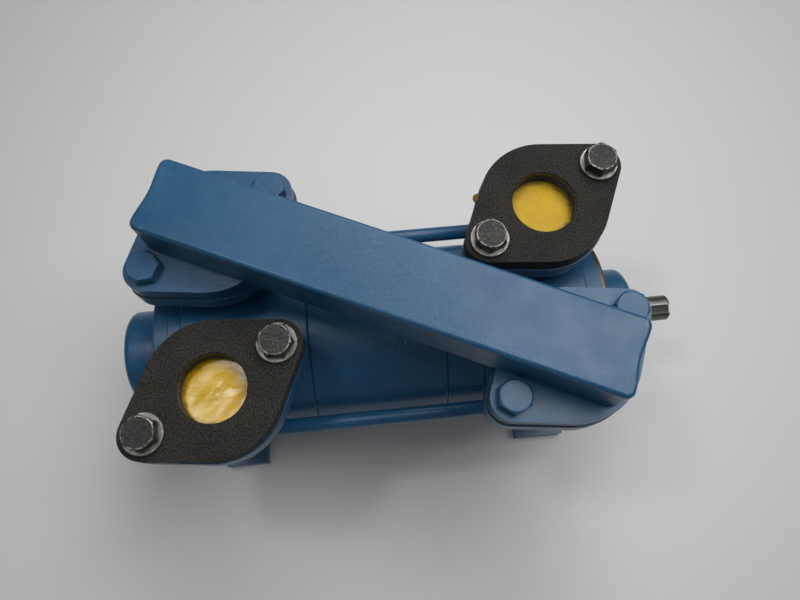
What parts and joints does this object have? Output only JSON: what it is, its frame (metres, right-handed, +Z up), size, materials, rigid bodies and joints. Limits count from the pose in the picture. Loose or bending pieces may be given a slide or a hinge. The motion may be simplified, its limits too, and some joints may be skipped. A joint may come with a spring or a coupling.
{
  "type": "two-stage liquid ring vacuum pump",
  "caption": "Blue two-stage liquid ring vacuum pump on cast feet, with upward ports, a diagonal transfer manifold, tie rods and a bare keyed shaft end.",
  "frame": {"origin": "centre of the four foot bolt holes, on the plane that the feet stand on", "axes": "+X along the shaft towards the drive end, +Y to the back (the outlet side), +Z up"},
  "size_m": [0.3829, 0.1758, 0.2305],
  "materials": {
    "blue_enamel": "brushed semi-gloss enamel over castings",
    "black_cast_iron": "sand-cast, oiled, dark",
    "grey_cast_iron": "machined",
    "cast_bronze": "as cast with machined ends",
    "ground_steel": "ground, lightly oiled",
    "bearing_steel": "polished",
    "cage_brass": "machined",
    "black_oxide_steel": "black oxide, worn bright on the edges",
    "zinc_plate": "dull zinc plate",
    "ceramic": "lapped ceramic",
    "carbon": "lapped carbon",
    "black_rubber": "satin",
    "gasket_sheet": "matt fibre sheet",
    "yellow_film": "matt plastic film"
  },
  "bodies": {
    "housing": {"nde_casing": "blue_enamel", "de_casing": "blue_enamel", "stage_1_ring": "blue_enamel", "stage_2_ring": "blue_enamel", "intermediate_plate": "grey_cast_iron", "port_plate_1": "grey_cast_iron", "port_plate_2": "grey_cast_iron", "nde_seal_plate": "blue_enamel", "de_seal_plate": "grey_cast_iron", "seal_seats": "ceramic", "nde_bearing_bracket": "blue_enamel", "de_bearing_bracket": "blue_enamel", "nde_bearing_outer_race": "bearing_steel", "de_bearing_outer_race": "bearing_steel", "bearing_spring": "bearing_steel", "housing_circlips": "black_oxide_steel", "shaft_lip_seal": "black_rubber", "bracket_screws": "black_oxide_steel", "tie_rods": "blue_enamel", "tie_rod_nuts": "blue_enamel", "tie_rod_washers": "blue_enamel", "drain_plug": "black_oxide_steel", "manifold": "blue_enamel", "manifold_gaskets": "gasket_sheet", "manifold_bolts": "blue_enamel", "inlet_flange": "black_cast_iron", "outlet_flange": "black_cast_iron", "companion_gaskets": "gasket_sheet", "port_blanking_sheets": "yellow_film", "companion_bolts": "black_oxide_steel", "companion_washers": "zinc_plate"},
    "rotor": {"shaft": "ground_steel", "impeller_1": "cast_bronze", "impeller_2": "cast_bronze", "impeller_keys": "ground_steel", "nde_shaft_sleeve": "ground_steel", "interstage_sleeve": "ground_steel", "de_shaft_sleeve": "ground_steel", "seal_faces": "carbon", "seal_bellows": "black_rubber", "seal_collars": "ground_steel", "nde_bearing_inner_race": "bearing_steel", "de_bearing_inner_race": "bearing_steel", "shaft_circlips": "black_oxide_steel", "v_rings": "black_rubber"},
    "nde_ball_set": {"nde_bearing_balls": "bearing_steel", "nde_bearing_cage": "cage_brass"},
    "de_ball_set": {"de_bearing_balls": "bearing_steel", "de_bearing_cage": "cage_brass"}
  },
  "joints": [
    {"name": "rotor_spin", "type": "hinge", "parent": "housing", "child": "rotor", "pos_m": [0, 0, 0.1], "axis": [1, 0, 0], "continuous": true},
    {"name": "nde_ball_orbit", "type": "hinge", "parent": "housing", "child": "nde_ball_set", "pos_m": [-0.157, 0, 0.1], "axis": [1, 0, 0], "continuous": true},
    {"name": "de_ball_orbit", "type": "hinge", "parent": "housing", "child": "de_ball_set", "pos_m": [0.157, 0, 0.1], "axis": [1, 0, 0], "continuous": true}
  ],
  "couplings": [
    {"joint": "nde_ball_orbit", "follows": "rotor_spin", "ratio": 0.3815},
    {"joint": "de_ball_orbit", "follows": "rotor_spin", "ratio": 0.3815}
  ]
}
